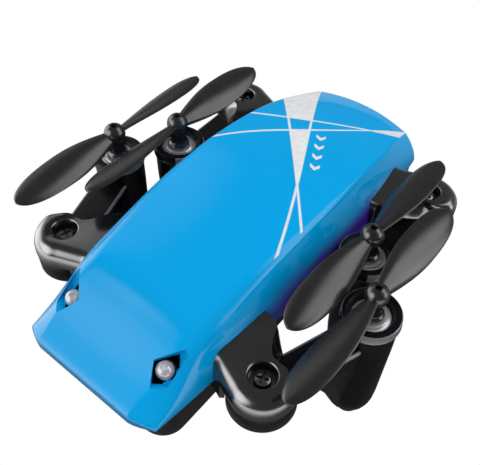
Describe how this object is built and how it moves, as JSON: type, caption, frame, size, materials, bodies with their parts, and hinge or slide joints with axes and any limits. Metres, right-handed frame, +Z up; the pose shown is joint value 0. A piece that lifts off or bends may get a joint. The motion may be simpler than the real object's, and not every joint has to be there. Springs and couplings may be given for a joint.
{
  "type": "mini palm drone",
  "caption": "Pocket quadcopter with a blue shell, black swing-out arms folded along its sides, twin-blade propellers and small lamps at the nose.",
  "frame": {"origin": "centre of the bounding box in plan, on the floor under the four feet", "axes": "+X to the aircraft's left, -Y towards the nose, +Z up"},
  "size_m": [0.0628, 0.0748, 0.0357],
  "materials": {
    "cover_gloss": "glossy injection-moulded plastic, bright cyan-blue, with thin silver lines",
    "shell_satin": "satin black moulded plastic",
    "shoulder_gloss": "glossy black moulded plastic",
    "arm_satin": "semi-gloss black moulded plastic",
    "propeller_satin": "satin dark grey moulded plastic",
    "foot_rubber": "black soft rubber",
    "button_satin": "satin black plastic",
    "lamp_clear": "milky clear resin",
    "steel_small": "plain steel",
    "screw_dark": "blackened steel",
    "bush_brass": "plain brass",
    "motor_can": "plain metal can",
    "motor_end": "light grey metal",
    "rotor_coil": "copper winding on a steel shaft",
    "board_green": "green solder mask",
    "cell_foil": "silver foil pouch"
  },
  "bodies": {
    "body": {"top_cover": "cover_gloss", "bottom_shell": "shell_satin", "body_screws": "steel_small", "circuit_board": "board_green", "battery": "cell_foil", "charging_socket": "steel_small", "power_switch": "steel_small", "headlight_left": "lamp_clear", "headlight_right": "lamp_clear", "pivot_screws": "screw_dark", "pivot_bushes": "bush_brass", "shoulder_front_left": "shoulder_gloss", "shoulder_front_right": "shoulder_gloss", "shoulder_rear_left": "shoulder_gloss", "shoulder_rear_right": "shoulder_gloss"},
    "button": {"power_button": "button_satin"},
    "arm_front_left": {"arm_front_left": "arm_satin", "motor_front_left": "motor_can", "motor_cap_front_left": "motor_end", "foot_front_left": "foot_rubber"},
    "prop_front_left": {"propeller_front_left": "propeller_satin", "rotor_front_left": "rotor_coil"},
    "arm_rear_left": {"arm_rear_left": "arm_satin", "motor_rear_left": "motor_can", "motor_cap_rear_left": "motor_end", "foot_rear_left": "foot_rubber"},
    "prop_rear_left": {"propeller_rear_left": "propeller_satin", "rotor_rear_left": "rotor_coil"},
    "arm_front_right": {"arm_front_right": "arm_satin", "motor_front_right": "motor_can", "motor_cap_front_right": "motor_end", "foot_front_right": "foot_rubber"},
    "prop_front_right": {"propeller_front_right": "propeller_satin", "rotor_front_right": "rotor_coil"},
    "arm_rear_right": {"arm_rear_right": "arm_satin", "motor_rear_right": "motor_can", "motor_cap_rear_right": "motor_end", "foot_rear_right": "foot_rubber"},
    "prop_rear_right": {"propeller_rear_right": "propeller_satin", "rotor_rear_right": "rotor_coil"}
  },
  "joints": [
    {"name": "power_button_press", "type": "slide", "parent": "body", "child": "button", "axis": [0, 0, 1], "range_m": [0, 0.0004], "stiffness_N_per_m": 400},
    {"name": "arm_front_left_swing", "type": "hinge", "parent": "body", "child": "arm_front_left", "pos_m": [0.0206, -0.02115, 0.0229], "axis": [0, 0, -1], "range_deg": [0, 100]},
    {"name": "propeller_front_left_spin", "type": "hinge", "parent": "arm_front_left", "child": "prop_front_left", "pos_m": [0.02679, -0.00319, 0.03335], "axis": [0, 0, 1], "continuous": true},
    {"name": "arm_rear_left_swing", "type": "hinge", "parent": "body", "child": "arm_rear_left", "pos_m": [0.0206, 0.02485, 0.0229], "axis": [0, 0, 1], "range_deg": [0, 120]},
    {"name": "propeller_rear_left_spin", "type": "hinge", "parent": "arm_rear_left", "child": "prop_rear_left", "pos_m": [0.02027, 0.00585, 0.03335], "axis": [0, 0, 1], "continuous": true},
    {"name": "arm_front_right_swing", "type": "hinge", "parent": "body", "child": "arm_front_right", "pos_m": [-0.0206, -0.02115, 0.0229], "axis": [0, 0, 1], "range_deg": [0, 100]},
    {"name": "propeller_front_right_spin", "type": "hinge", "parent": "arm_front_right", "child": "prop_front_right", "pos_m": [-0.02679, -0.00319, 0.03335], "axis": [0, 0, 1], "continuous": true},
    {"name": "arm_rear_right_swing", "type": "hinge", "parent": "body", "child": "arm_rear_right", "pos_m": [-0.0206, 0.02485, 0.0229], "axis": [0, 0, -1], "range_deg": [0, 120]},
    {"name": "propeller_rear_right_spin", "type": "hinge", "parent": "arm_rear_right", "child": "prop_rear_right", "pos_m": [-0.02027, 0.00585, 0.03335], "axis": [0, 0, 1], "continuous": true}
  ],
  "couplings": [
    {"joint": "arm_rear_left_swing", "follows": "arm_front_left_swing", "ratio": 1.2},
    {"joint": "propeller_front_left_spin", "follows": "arm_front_left_swing", "ratio": -0.35},
    {"joint": "propeller_rear_left_spin", "follows": "arm_front_left_swing", "ratio": -2.55},
    {"joint": "arm_rear_right_swing", "follows": "arm_front_right_swing", "ratio": 1.2},
    {"joint": "propeller_front_right_spin", "follows": "arm_front_right_swing", "ratio": 0.35},
    {"joint": "propeller_rear_right_spin", "follows": "arm_front_right_swing", "ratio": 2.55}
  ]
}
